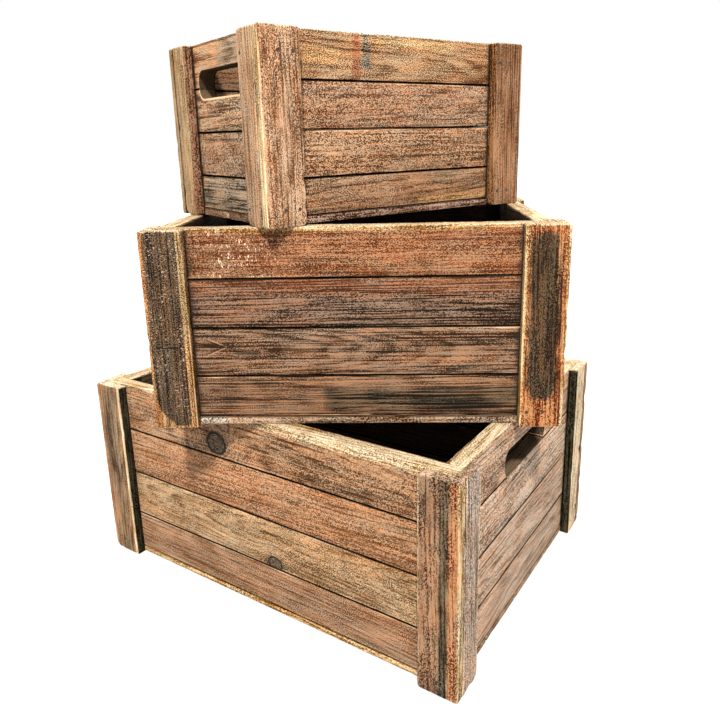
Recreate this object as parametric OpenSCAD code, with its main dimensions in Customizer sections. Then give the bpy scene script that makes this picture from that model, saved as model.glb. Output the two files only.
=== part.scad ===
// Three nesting slatted crates, stacked and turned: large, medium and small.
// Millimetres. Origin at the middle of the large crate's underside, Z up,
// X along the large crate's long side.

/* [Large crate] */
// Length over the corner posts
large_l = 457; // [440:1:480]
// Width over the corner posts
large_w = 346; // [336:1:360]
// Height
large_h = 211; // [205:1:220]
// Height of one wall slat and the gap under it
large_pitch = 53; // [50:0.5:54]
// Length of the hand hole in each end
large_hole = 110; // [90:1:120]
// Middle of the hand hole below the rim
large_hole_drop = 39.5; // [38:0.5:42]
// Width of the end face's corner batten
large_end_batten = 29.5; // [26:0.5:32]

/* [Medium crate] */
// Length over the corner posts
medium_l = 380; // [370:1:390]
// Width over the corner posts
medium_w = 264; // [256:1:272]
// Height
medium_h = 188; // [183:1:196]
// Height of one wall slat and the gap under it
medium_pitch = 46.5; // [45:0.5:47.5]
// Length of the hand hole in each end
medium_hole = 104; // [90:1:110]
// Middle of the hand hole below the rim
medium_hole_drop = 39; // [36:0.5:42]
// Width of the end face's corner batten
medium_end_batten = 30; // [26:0.5:32]

/* [Small crate] */
// Length over the corner posts
small_l = 315; // [305:1:325]
// Width over the corner posts
small_w = 192; // [188:1:200]
// Height
small_h = 166; // [160:1:172]
// Height of one wall slat and the gap under it
small_pitch = 41.8; // [40:0.1:42]
// Length of the hand hole in each end
small_hole = 98; // [90:1:98]
// Middle of the hand hole below the rim
small_hole_drop = 38; // [36:0.5:40]
// Width of the end face's corner batten
small_end_batten = 27.5; // [25:0.5:28]

/* [Boards] */
// Thickness of the wall slats
slat_t = 17.5; // [15:0.5:18]
// Open gap between two slats
slat_gap = 0.8; // [0.5:0.1:2]
// Thickness of the corner battens
batten_t = 10; // [8:0.5:12]
// Width of the side face's corner batten
side_batten = 40; // [36:1:44]
// Joint line where two corner battens meet
batten_gap = 0.3; // [0.2:0.1:0.6]
// Thickness of the base boards
base_t = 8; // [6:0.5:9]
// Open gap between two base boards
base_gap = 2; // [1:0.5:4]

/* [Hand holes] */
// Height of a hand hole
hole_h = 26; // [24:0.5:28]
// Corner radius of a hand hole
hole_r = 10; // [7:0.5:11.5]

/* [Nails] */
// Radius of a nail head
head_r = 1.6; // [1.4:0.1:1.9]
// Thickness of a nail head
head_t = 0.8; // [0.6:0.1:1]
// Radius of a nail shank
shank_r = 0.8; // [0.7:0.05:0.85]
// Length of a nail
nail_l = 21; // [18:0.5:23]
// Height of the lower nails
nail_low = 15; // [13:0.5:17]
// Upper nails below the rim
nail_drop = 20; // [16:0.5:22]
// Outer nail of a side batten, from the crate's end
nail_inset = 18.5; // [17:0.5:19.5]
// Spacing of the two nails of a side batten
nail_pair = 14.5; // [12:0.5:14.5]
// Nails of an end batten, from the end wall's edge
end_nail_inset = 5; // [4:0.5:5.5]

/* [Stack] */
// Turn of the medium crate on the large one
medium_turn = 31; // [25:0.5:37]
// Medium crate's shift along X
medium_x = 30.5; // [20:0.5:40]
// Medium crate's shift along Y
medium_y = -13; // [-23:0.5:-3]
// Turn of the small crate from the large one
small_turn = 69.5; // [64:0.5:75]
// Small crate's shift along X
small_x = 6.5; // [0:0.5:14]
// Small crate's shift along Y
small_y = 12; // [4:0.5:20]

/* [Hidden] */
// length, width, height, slat pitch, hole length, hole drop, end batten width, base joints
large_joints = [-89, -15, 75];
medium_joints = [-41, 41];
small_joints = [4];
large = [
    large_l, large_w, large_h, large_pitch,
    large_hole, large_hole_drop, large_end_batten, large_joints
];
medium = [
    medium_l, medium_w, medium_h, medium_pitch,
    medium_hole, medium_hole_drop, medium_end_batten, medium_joints
];
small = [
    small_l, small_w, small_h, small_pitch,
    small_hole, small_hole_drop, small_end_batten, small_joints
];
nail_sink = 0.2;
// clearance round a nail, and how far its hole's cutter starts and ends outside the wood
ease = 0.1;
overshoot = 1;
$fn = 32;

function slat_top(c, i) = c[2] - (i - 1) * c[3];
function slat_low(c, i) = i < 4 ? slat_top(c, i) - c[3] + slat_gap : base_t;
// inner faces of the end walls and of the side walls
function inside_x(c) = c[0] / 2 - batten_t - slat_t;
function inside_y(c) = c[1] / 2 - batten_t - slat_t;

module on_large() children();

module on_medium() translate([medium_x, medium_y, large_h]) rotate([0, 0, medium_turn]) children();

module on_small() translate([small_x, small_y, large_h + medium_h]) rotate([0, 0, small_turn]) children();

// A nail driven along +Z, its head just under the surface at z = 0
module nail() {
    translate([0, 0, nail_sink]) cylinder(r = head_r, h = head_t);
    translate([0, 0, nail_sink]) cylinder(r = shank_r, h = nail_l);
}

// The hole that the nail makes
module nail_way() {
    translate([0, 0, -overshoot]) {
        cylinder(r = head_r + ease, h = overshoot + nail_sink + head_t);
        cylinder(r = shank_r + 2 * ease, h = nail_l + 2 * overshoot);
    }
}

// Nail places on one long side: pairs at the foot and head of each batten
module side_nail_places(c, side) {
    for (end = [-1, 1])
        for (inset = [nail_inset, nail_inset + nail_pair])
            for (z = [nail_low, c[2] - nail_drop])
                translate([end * (c[0] / 2 - inset), side * c[1] / 2, z])
                    rotate([side * 90, 0, 0]) children();
}

// Nail places on one end: one at the foot and one at the head of each batten
module end_nail_places(c, side) {
    for (edge = [-1, 1])
        for (z = [nail_low, c[2] - nail_drop])
            translate([side * c[0] / 2, edge * (inside_y(c) - end_nail_inset), z])
                rotate([0, -side * 90, 0]) children();
}

// One board of a long wall, running from end face to end face
module long_slat(c, side, i) {
    difference() {
        translate([-c[0] / 2 + batten_t, side * (inside_y(c) + slat_t / 2) - slat_t / 2, slat_low(c, i)])
            cube([c[0] - 2 * batten_t, slat_t, slat_top(c, i) - slat_low(c, i)]);
        if (i == 1 || i == 4) side_nail_places(c, side) nail_way();
    }
}

// Slot for the fingers, with rounded corners, through an end wall
module hand_hole(c, side) {
    half = c[4] / 2 - hole_r;
    rise = hole_h / 2 - hole_r;
    translate([side * (inside_x(c) + slat_t / 2), 0, c[2] - c[5]]) rotate([0, 90, 0]) {
        for (a = [-rise, rise])
            for (b = [-half, half])
                translate([a, b, -slat_t]) cylinder(r = hole_r, h = 2 * slat_t);
        translate([-hole_h / 2, -half, -slat_t]) cube([hole_h, 2 * half, 2 * slat_t]);
        translate([-rise, -c[4] / 2, -slat_t]) cube([2 * rise, c[4], 2 * slat_t]);
    }
}

// One board of an end wall, between the long walls
module end_slat(c, side, i) {
    difference() {
        translate([side * (inside_x(c) + slat_t / 2) - slat_t / 2, -inside_y(c), slat_low(c, i)])
            cube([slat_t, 2 * inside_y(c), slat_top(c, i) - slat_low(c, i)]);
        if (i == 1 || i == 4) end_nail_places(c, side) nail_way();
        if (i < 3) hand_hole(c, side);
    }
}

module end_lower_slats(c, side) {
    end_slat(c, side, 3);
    end_slat(c, side, 4);
}

// Two upright battens: the side one covers the edge of the end one
module corner_post(c, sx, sy) {
    difference() {
        translate([
            sx * (c[0] / 2 - side_batten / 2) - side_batten / 2,
            sy * (c[1] / 2 - batten_t / 2) - batten_t / 2,
            0
        ]) cube([side_batten, batten_t, c[2]]);
        side_nail_places(c, sy) nail_way();
    }
    difference() {
        translate([
            sx * (c[0] / 2 - batten_t / 2) - batten_t / 2,
            sy * (c[1] / 2 - batten_t - batten_gap - c[6] / 2) - c[6] / 2,
            0
        ]) cube([batten_t, c[6], c[2]]);
        end_nail_places(c, sx) nail_way();
    }
}

// Thin boards along the crate, nailed under the walls
module base_boards(c) {
    edge = c[1] / 2 - batten_t;
    lows = concat([-edge], [for (y = c[7]) y + base_gap / 2]);
    highs = concat([for (y = c[7]) y - base_gap / 2], [edge]);
    for (k = [0 : len(lows) - 1])
        translate([-c[0] / 2 + batten_t, lows[k], 0]) cube([c[0] - 2 * batten_t, highs[k] - lows[k], base_t]);
}

module crate_nails(c) {
    for (side = [-1, 1]) {
        side_nail_places(c, side) nail();
        end_nail_places(c, side) nail();
    }
}

module large_front_slat_1() color("#8a6038") on_large() long_slat(large, -1, 1);

module large_front_slat_2() color("#8a6038") on_large() long_slat(large, -1, 2);

module large_front_slat_3() color("#8a6038") on_large() long_slat(large, -1, 3);

module large_front_slat_4() color("#8a6038") on_large() long_slat(large, -1, 4);

module large_back_slat_1() color("#8a6038") on_large() long_slat(large, 1, 1);

module large_back_slat_2() color("#8a6038") on_large() long_slat(large, 1, 2);

module large_back_slat_3() color("#8a6038") on_large() long_slat(large, 1, 3);

module large_back_slat_4() color("#8a6038") on_large() long_slat(large, 1, 4);

module large_left_end_slat_1() color("#7c5430") on_large() end_slat(large, -1, 1);

module large_left_end_slat_2() color("#7c5430") on_large() end_slat(large, -1, 2);

module large_left_end_lower_slats() color("#7c5430") on_large() end_lower_slats(large, -1);

module large_right_end_slat_1() color("#7c5430") on_large() end_slat(large, 1, 1);

module large_right_end_slat_2() color("#7c5430") on_large() end_slat(large, 1, 2);

module large_right_end_lower_slats() color("#7c5430") on_large() end_lower_slats(large, 1);

module large_front_left_post() color("#6a4a2e") on_large() corner_post(large, -1, -1);

module large_front_right_post() color("#6a4a2e") on_large() corner_post(large, 1, -1);

module large_back_left_post() color("#6a4a2e") on_large() corner_post(large, -1, 1);

module large_back_right_post() color("#6a4a2e") on_large() corner_post(large, 1, 1);

module large_base_boards() color("#6a4a2e") on_large() base_boards(large);

module large_nails() color("#3a3632") on_large() crate_nails(large);

module medium_front_slat_1() color("#7a4a2b") on_medium() long_slat(medium, -1, 1);

module medium_front_slat_2() color("#7a4a2b") on_medium() long_slat(medium, -1, 2);

module medium_front_slat_3() color("#7a4a2b") on_medium() long_slat(medium, -1, 3);

module medium_front_slat_4() color("#7a4a2b") on_medium() long_slat(medium, -1, 4);

module medium_back_slat_1() color("#7a4a2b") on_medium() long_slat(medium, 1, 1);

module medium_back_slat_2() color("#7a4a2b") on_medium() long_slat(medium, 1, 2);

module medium_back_slat_3() color("#7a4a2b") on_medium() long_slat(medium, 1, 3);

module medium_back_slat_4() color("#7a4a2b") on_medium() long_slat(medium, 1, 4);

module medium_left_end_slat_1() color("#5d4230") on_medium() end_slat(medium, -1, 1);

module medium_left_end_slat_2() color("#5d4230") on_medium() end_slat(medium, -1, 2);

module medium_left_end_lower_slats() color("#5d4230") on_medium() end_lower_slats(medium, -1);

module medium_right_end_slat_1() color("#5d4230") on_medium() end_slat(medium, 1, 1);

module medium_right_end_slat_2() color("#5d4230") on_medium() end_slat(medium, 1, 2);

module medium_right_end_lower_slats() color("#5d4230") on_medium() end_lower_slats(medium, 1);

module medium_front_left_post() color("#63452c") on_medium() corner_post(medium, -1, -1);

module medium_front_right_post() color("#63452c") on_medium() corner_post(medium, 1, -1);

module medium_back_left_post() color("#63452c") on_medium() corner_post(medium, -1, 1);

module medium_back_right_post() color("#63452c") on_medium() corner_post(medium, 1, 1);

module medium_base_boards() color("#63452c") on_medium() base_boards(medium);

module medium_nails() color("#3a3632") on_medium() crate_nails(medium);

module small_front_slat_1() color("#86603a") on_small() long_slat(small, -1, 1);

module small_front_slat_2() color("#86603a") on_small() long_slat(small, -1, 2);

module small_front_slat_3() color("#86603a") on_small() long_slat(small, -1, 3);

module small_front_slat_4() color("#86603a") on_small() long_slat(small, -1, 4);

module small_back_slat_1() color("#86603a") on_small() long_slat(small, 1, 1);

module small_back_slat_2() color("#86603a") on_small() long_slat(small, 1, 2);

module small_back_slat_3() color("#86603a") on_small() long_slat(small, 1, 3);

module small_back_slat_4() color("#86603a") on_small() long_slat(small, 1, 4);

module small_left_end_slat_1() color("#7d5835") on_small() end_slat(small, -1, 1);

module small_left_end_slat_2() color("#7d5835") on_small() end_slat(small, -1, 2);

module small_left_end_lower_slats() color("#7d5835") on_small() end_lower_slats(small, -1);

module small_right_end_slat_1() color("#7d5835") on_small() end_slat(small, 1, 1);

module small_right_end_slat_2() color("#7d5835") on_small() end_slat(small, 1, 2);

module small_right_end_lower_slats() color("#7d5835") on_small() end_lower_slats(small, 1);

module small_front_left_post() color("#6d4d30") on_small() corner_post(small, -1, -1);

module small_front_right_post() color("#6d4d30") on_small() corner_post(small, 1, -1);

module small_back_left_post() color("#6d4d30") on_small() corner_post(small, -1, 1);

module small_back_right_post() color("#6d4d30") on_small() corner_post(small, 1, 1);

module small_base_boards() color("#6d4d30") on_small() base_boards(small);

module small_nails() color("#3a3632") on_small() crate_nails(small);

large_front_slat_1();
large_front_slat_2();
large_front_slat_3();
large_front_slat_4();
large_back_slat_1();
large_back_slat_2();
large_back_slat_3();
large_back_slat_4();
large_left_end_slat_1();
large_left_end_slat_2();
large_left_end_lower_slats();
large_right_end_slat_1();
large_right_end_slat_2();
large_right_end_lower_slats();
large_front_left_post();
large_front_right_post();
large_back_left_post();
large_back_right_post();
large_base_boards();
large_nails();
medium_front_slat_1();
medium_front_slat_2();
medium_front_slat_3();
medium_front_slat_4();
medium_back_slat_1();
medium_back_slat_2();
medium_back_slat_3();
medium_back_slat_4();
medium_left_end_slat_1();
medium_left_end_slat_2();
medium_left_end_lower_slats();
medium_right_end_slat_1();
medium_right_end_slat_2();
medium_right_end_lower_slats();
medium_front_left_post();
medium_front_right_post();
medium_back_left_post();
medium_back_right_post();
medium_base_boards();
medium_nails();
small_front_slat_1();
small_front_slat_2();
small_front_slat_3();
small_front_slat_4();
small_back_slat_1();
small_back_slat_2();
small_back_slat_3();
small_back_slat_4();
small_left_end_slat_1();
small_left_end_slat_2();
small_left_end_lower_slats();
small_right_end_slat_1();
small_right_end_slat_2();
small_right_end_lower_slats();
small_front_left_post();
small_front_right_post();
small_back_left_post();
small_back_right_post();
small_base_boards();
small_nails();
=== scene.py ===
"""Looks of three nesting slatted crates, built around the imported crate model.

Every board of the model is rebuilt as a worn board with rounded arrises, and takes a stained
wood material whose grain runs through the board. Board coordinates are in millimetres from
the board's middle: x along the grain, to the right or up, y across it, and z out of the crate.
"""

import math

import bmesh
import bpy
import numpy as np
from mathutils import Matrix, Vector, noise


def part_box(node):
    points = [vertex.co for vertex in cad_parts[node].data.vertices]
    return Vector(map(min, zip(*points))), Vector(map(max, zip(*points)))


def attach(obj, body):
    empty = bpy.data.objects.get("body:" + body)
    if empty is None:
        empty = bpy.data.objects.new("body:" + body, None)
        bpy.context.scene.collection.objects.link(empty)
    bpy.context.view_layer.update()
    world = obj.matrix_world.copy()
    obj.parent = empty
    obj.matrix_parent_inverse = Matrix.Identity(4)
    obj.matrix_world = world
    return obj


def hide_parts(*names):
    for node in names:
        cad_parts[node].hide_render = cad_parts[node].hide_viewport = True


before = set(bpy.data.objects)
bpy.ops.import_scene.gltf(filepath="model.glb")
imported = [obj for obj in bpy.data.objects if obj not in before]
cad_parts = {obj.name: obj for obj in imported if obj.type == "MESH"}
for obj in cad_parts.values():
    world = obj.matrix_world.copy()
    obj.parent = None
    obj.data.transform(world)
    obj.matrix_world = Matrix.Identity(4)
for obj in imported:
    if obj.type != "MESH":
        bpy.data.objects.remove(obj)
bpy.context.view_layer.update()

MM = 0.001
CRATES = ("large", "medium", "small")

# Camera in the crates' frame: place, compass heading, tilt and roll in degrees
CAMERA_PLACE = Vector((0.4329, -0.6114, 0.4753))
CAMERA_HEADING = 123.88
CAMERA_TILT = 15.09
CAMERA_ROLL = 1.37
CAMERA_LENS = 34.0
CAMERA_SHIFT = (-0.0022, -0.0566)

# Key light: degrees to the left of the camera and above the floor, its softness in degrees and its
# strength in watts per square metre
KEY_TURN = 3.0
KEY_HEIGHT = 54.0
KEY_SOFTNESS = 6.0
KEY_POWER = 9.0
# Fill light from behind, as high as the key light
FILL_SOFTNESS = 30.0
FILL_POWER = 3.0

# Board shape, in millimetres
ARRIS = 1.0          # radius of the rounded arrises
ARRIS_STEPS = 3
ARC_STEPS = 8        # facets in each corner of a hand hole
LENGTH_STEP = 6.0    # sizes of the mesh along and across a board
WIDTH_STEP = 12.0
WAVE = 0.12          # how deep the waves, nicks and chips of wear go
NICK = 0.3
CHIP = 1.3
SWELL = 0.36         # how far a slat reaches into the gap beside it
HOLE_HEIGHT = 26.0
HOLE_RADIUS = 10.0
HOLE_FEATHER = 2.5   # thickness at which the feather beside a hole's mouth is broken off
NO_HOLE = 50.0       # distance given for a board without one
NAIL_RADIUS = 1.75
NAIL_DEPTH = 1.3
NAIL_SIDES = 14
SHARP_ANGLE = 50     # degrees from which an edge is shaded sharp
SLAT_CORNERS = (1.3, 1.3, 1.3, 1.3)
BATTEN_CORNERS = (3.0, 3.0, 2.0, 2.0)
END_MARGIN = 12.0    # length at a slat's ends where no hand hole is looked for


def add_object(name, data):
    item = bpy.data.objects.new(name, data)
    bpy.context.scene.collection.objects.link(item)
    return item


# ---------------------------------------------------------------- frame of each crate

class Crate:
    """One crate's own axes: along its long side, across it and up, from the middle of its foot."""

    def __init__(self, name):
        self.name = name
        self.body = name + "_crate"
        front = sum(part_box(name + "_front_slat_2"), Vector()) / 2
        back = sum(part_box(name + "_back_slat_2"), Vector()) / 2
        self.across = (back - front).normalized()
        self.up = Vector((0, 0, 1))
        self.along = self.across.cross(self.up)
        low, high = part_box(name + "_front_left_post")
        self.origin = (front + back) / 2
        self.origin.z = low.z
        self.height = (high.z - low.z) / MM

    def local(self, point):
        """A point of the row frame in this crate's axes, in millimetres."""
        way = point - self.origin
        return Vector((way.dot(self.along), way.dot(self.across), way.dot(self.up))) / MM

    def turned(self, vector):
        return self.along * vector.x + self.across * vector.y + self.up * vector.z


def solids(crate, node):
    """The separate solids of a CAD node, each as a list of points in the crate's axes."""
    mesh = bmesh.new()
    mesh.from_mesh(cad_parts[node].data)
    bmesh.ops.remove_doubles(mesh, verts=mesh.verts, dist=0.02 * MM)
    left = set(mesh.verts)
    found = []
    for first in list(mesh.verts):
        if first not in left:
            continue
        left.discard(first)
        island, queue = [], [first]
        while queue:
            vert = queue.pop()
            island.append(crate.local(vert.co))
            for edge in vert.link_edges:
                other = edge.other_vert(vert)
                if other in left:
                    left.discard(other)
                    queue.append(other)
        found.append(island)
    mesh.free()
    return found


class Board:
    """One board: its middle and half sizes, and its own axes in the crate's axes."""

    def __init__(self, crate, points, grain, outward):
        self.crate = crate
        low = Vector([min(p[i] for p in points) for i in range(3)])
        high = Vector([max(p[i] for p in points) for i in range(3)])
        self.middle = (low + high) / 2
        right = Vector((0, 0, 1)).cross(outward) if abs(outward.z) < 0.5 else Vector((0, 1, 0))
        across = right if abs(grain.z) > 0.5 else Vector((0, 0, 1))
        if abs(outward.z) > 0.5:
            across = Vector((0, 1, 0))
        if grain.length < 0.5:
            grain = right
        self.axes = (grain, across, outward)
        size = (high - low) / 2
        self.half = Vector([abs(size.dot(axis)) for axis in self.axes])

    def own(self, point):
        way = point - self.middle
        return Vector([way.dot(axis) for axis in self.axes])

    def to_row_frame(self):
        """Matrix from board millimetres to the row frame's metres."""
        columns = [self.crate.turned(axis) * MM for axis in self.axes]
        start = self.crate.origin + self.crate.turned(self.middle) * MM
        return Matrix.Translation(start) @ Matrix(columns).transposed().to_4x4()


# ---------------------------------------------------------------- board meshes

def corner_arc(centre, radius, start, steps=5):
    """Points of a quarter circle, anticlockwise from start degrees."""
    turns = [math.radians(start + 90 * k / steps) for k in range(steps + 1)]
    return [Vector((centre[0] + radius * math.cos(a), centre[1] + radius * math.sin(a))) for a in turns]


def notch(half_length, edge, deep, sign):
    """Outline of a hand hole's part in one board: from its mouth at edge to its far side at deep. Where
    the hole narrows towards the mouth, the thin feather left beside it is broken off."""
    side = half_length - HOLE_RADIUS
    far = deep - sign * HOLE_RADIUS
    near = deep - sign * (HOLE_HEIGHT - HOLE_RADIUS)
    past_far, short_of_near = (edge - far) * sign, (near - edge) * sign
    cut = max(past_far, short_of_near - HOLE_FEATHER, 0.0)
    from_edge = HOLE_FEATHER if short_of_near > HOLE_FEATHER else 0.05
    turns = [90 * k / ARC_STEPS for k in range(ARC_STEPS + 1)]
    arcs = [(near, turn - 90) for turn in turns] + [(far, turn) for turn in turns]
    points = []
    for centre, degrees in arcs:
        angle = math.radians(degrees)
        point = Vector((side + HOLE_RADIUS * math.cos(angle), centre + sign * HOLE_RADIUS * math.sin(angle)))
        repeated = points and (point - points[-1]).length < 0.05
        if (point.y - edge) * sign > from_edge and not repeated:
            points.append(point)
    mouth = side + math.sqrt(HOLE_RADIUS ** 2 - cut ** 2)
    if cut and from_edge == HOLE_FEATHER:
        points.insert(0, Vector((mouth, edge + sign * HOLE_FEATHER)))
    points.insert(0, Vector((mouth, edge)))
    mirrored = [Vector((-p.x, p.y)) for p in reversed(points)]
    return points + mirrored


def outline(half, corners, hole=None):
    """Anticlockwise outline of a board. corners are the radii at bottom left, bottom right, top right
    and top left; hole is (half length, y of the slot's far side, +1 if it opens at the foot or -1)."""
    x, y = half.x, half.y
    bottom_left, bottom_right, top_right, top_left = corners
    points = corner_arc((-x + bottom_left, -y + bottom_left), bottom_left, 180)
    if hole and hole[2] > 0:
        points += list(reversed(notch(hole[0], -y, hole[1], 1)))
    points += corner_arc((x - bottom_right, -y + bottom_right), bottom_right, 270)
    points += corner_arc((x - top_right, y - top_right), top_right, 0)
    if hole and hole[2] < 0:
        points += notch(hole[0], y, hole[1], -1)
    points += corner_arc((-x + top_left, y - top_left), top_left, 90)
    return points


def inset(points, distance):
    """The outline moved inwards, with mitred corners."""
    moved = []
    for i, point in enumerate(points):
        before = (point - points[i - 1]).normalized()
        after = (points[(i + 1) % len(points)] - point).normalized()
        tangent = (before + after).normalized()
        normal = Vector((-tangent.y, tangent.x))
        mitre = max(0.3, normal.dot(Vector((-before.y, before.x))))
        moved.append(point + normal * distance / mitre)
    return moved


def rounded_plate(points, half_thickness):
    """A plate with that outline, with all its arrises rounded."""
    rings = []
    for k in range(ARRIS_STEPS + 1):
        angle = math.pi / 2 * k / ARRIS_STEPS
        rings.append((ARRIS * (1 - math.sin(angle)), -half_thickness + ARRIS * (1 - math.cos(angle))))
    rings += [(in_by, -z) for in_by, z in reversed(rings)]
    mesh = bmesh.new()
    rows = []
    for in_by, z in rings:
        rows.append([mesh.verts.new((p.x, p.y, z)) for p in inset(points, in_by)])
    count = len(points)
    for low, high in zip(rows, rows[1:]):
        for i in range(count):
            j = (i + 1) % count
            mesh.faces.new((low[i], low[j], high[j], high[i]))
    mesh.faces.new(list(reversed(rows[0])))
    mesh.faces.new(rows[-1])
    return mesh


def cut_grid(mesh, half):
    """Cuts the plate into short lengths and narrow strips, so that it can be worn."""
    for axis, reach, step in ((1, half.y, WIDTH_STEP), (0, half.x, LENGTH_STEP)):
        pieces = max(2, round(2 * reach / step))
        normal = Vector((1, 0, 0)) if axis == 0 else Vector((0, 1, 0))
        ahead = mesh.faces[:]
        for k in range(1, pieces):
            at = -reach + 2 * reach * k / pieces
            verts = list(dict.fromkeys(vert for face in ahead for vert in face.verts))
            edges = list(dict.fromkeys(edge for face in ahead for edge in face.edges))
            cut = bmesh.ops.bisect_plane(mesh, geom=verts + edges + ahead, plane_co=normal * at,
                                         plane_no=normal, dist=0.02)
            faces = [item for item in cut["geom"] if isinstance(item, bmesh.types.BMFace)]
            ahead = [face for face in faces if face.calc_center_median()[axis] > at]


def smooth(low, high, value):
    """0 below low, 1 above high, and a smooth step between."""
    t = min(1.0, max(0.0, (value - low) / (high - low)))
    return t * t * (3 - 2 * t)


def swell(mesh, half, seed, free_head):
    """Widens a slat unevenly into the thin gaps beside it. A free head edge, at the rim, stays."""
    for vert in mesh.verts:
        if vert.co.y > 0 and free_head:
            continue
        wave = noise.noise(Vector((vert.co.x / 70, math.copysign(9, vert.co.y), seed)))
        vert.co.y *= 1 + SWELL * min(1.0, 0.85 + 0.3 * wave) / half.y


def wear(mesh, half, seed, chips):
    """Moves every vertex a little inwards: gentle waves, and nicks and chips along the arrises."""
    mesh.normal_update()
    shift = Vector((seed * 3.7, seed * 1.9, seed * 5.3))
    moves = []
    for vert in mesh.verts:
        p = vert.co
        gaps = sorted((half.x - abs(p.x), half.y - abs(p.y), half.z - abs(p.z)))
        wave = 0.5 + 0.5 * noise.noise(Vector((p.x / 60, p.y / 18, p.z / 18)) + shift)
        chance = noise.noise(Vector((p.x / 11, p.y / 6, p.z / 6)) + shift)
        fine = noise.noise(Vector((p.x / 4, p.y / 3, p.z / 3)) + shift)
        near = 1 - smooth(0.2, 3.5, gaps[1])
        depth = WAVE * wave + near * (CHIP * chips * smooth(0.3, 0.65, chance) + NICK * (0.5 + 0.5 * fine))
        moves.append(vert.normal * -depth)
    for vert, move in zip(mesh.verts, moves):
        vert.co += move


def drilled(mesh, places, half):
    """The board with shallow round recesses for its nail heads, cut by boolean."""
    if not places:
        return mesh
    cutter = bmesh.new()
    for x, y in places:
        place = Matrix.Translation((x, y, half.z))
        bmesh.ops.create_cone(cutter, cap_ends=True, segments=NAIL_SIDES, radius1=NAIL_RADIUS,
                              radius2=NAIL_RADIUS, depth=2 * NAIL_DEPTH, matrix=place)
    plate_data, cutter_data = bpy.data.meshes.new("plate"), bpy.data.meshes.new("cutter")
    mesh.to_mesh(plate_data)
    cutter.to_mesh(cutter_data)
    plate = add_object("plate", plate_data)
    drill = add_object("drill", cutter_data)
    cut = plate.modifiers.new("recess", "BOOLEAN")
    cut.operation = "DIFFERENCE"
    cut.solver = "EXACT"
    cut.object = drill
    bpy.context.view_layer.update()
    done = plate.evaluated_get(bpy.context.evaluated_depsgraph_get()).to_mesh()
    mesh.clear()
    mesh.from_mesh(done)
    cutter.free()
    for item in (plate, drill):
        bpy.data.objects.remove(item)
    return mesh


def hole_gap(rest, hole):
    """How far each point is from the hand hole's edge."""
    if not hole:
        return np.full(len(rest), NO_HOLE)
    half_length, far_side, sign = hole
    middle_y = far_side - sign * HOLE_HEIGHT / 2
    out_x = np.abs(rest[:, 0]) - (half_length - HOLE_RADIUS)
    out_y = np.abs(rest[:, 1] - middle_y) - (HOLE_HEIGHT / 2 - HOLE_RADIUS)
    inside = np.minimum(np.maximum(out_x, out_y), 0)
    return np.hypot(np.maximum(out_x, 0), np.maximum(out_y, 0)) + inside - HOLE_RADIUS


def keep_values(data, board, rest, seed, hole, clear):
    """Writes each vertex's board coordinates, half sizes, depth below the rim, seed, and distances from
    the hand hole and from the post."""
    count = len(rest)
    base = board.middle
    up = Vector([axis.z for axis in board.axes])
    rest = np.array(rest)
    rise = board.crate.height - (base.z + rest @ np.array(up))
    fields = {"board": rest, "half": np.tile(board.half, (count, 1)), "rise": rise,
              "seed": np.full(count, seed), "hole_gap": hole_gap(rest, hole),
              "post_gap": clear - np.abs(rest[:, 0])}
    for name, values in fields.items():
        kind, key = ("FLOAT_VECTOR", "vector") if values.ndim == 2 else ("FLOAT", "value")
        layer = data.attributes.new(name, kind, "POINT")
        layer.data.foreach_set(key, values.astype(np.float32).ravel())


def make_board(name, board, material, seed, corners=SLAT_CORNERS, hole=None, nails=(), chips=0.4,
               slat=0, clear=500.0):
    """A worn board as an object in the row frame. slat is its number from the rim, or 0 if it is none, and
    clear is half the length that its posts leave free."""
    opening = hole if hole and hole[1] < board.half.y - 1 else None
    mesh = rounded_plate(outline(board.half, corners, opening), board.half.z)
    cut_grid(mesh, board.half)
    drilled(mesh, nails, board.half)
    rest = [tuple(vert.co) for vert in mesh.verts]
    wear(mesh, board.half, seed, chips)
    if slat:
        swell(mesh, board.half, seed, slat == 1)
    bmesh.ops.transform(mesh, matrix=board.to_row_frame(), verts=mesh.verts)
    bmesh.ops.recalc_face_normals(mesh, faces=mesh.faces)
    for face in mesh.faces:
        face.smooth = True
    for edge in mesh.edges:
        if len(edge.link_faces) == 2 and edge.calc_face_angle(0) > math.radians(SHARP_ANGLE):
            edge.smooth = False
    data = bpy.data.meshes.new(name)
    mesh.to_mesh(data)
    mesh.free()
    keep_values(data, board, rest, seed, hole, clear)
    data.materials.append(material)
    return add_object(name, data)


# ---------------------------------------------------------------- materials

# The tones below are as the eye sees them in the studio light, which is brighter than a plain sky
TONE_SCALE = 0.42


def rgb(code):
    """A linear colour from a hex code."""
    parts = [int(code[i:i + 2], 16) / 255 for i in (1, 3, 5)]
    return [c / 12.92 if c <= 0.04045 else ((c + 0.055) / 1.055) ** 2.4 for c in parts] + [1.0]


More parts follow.
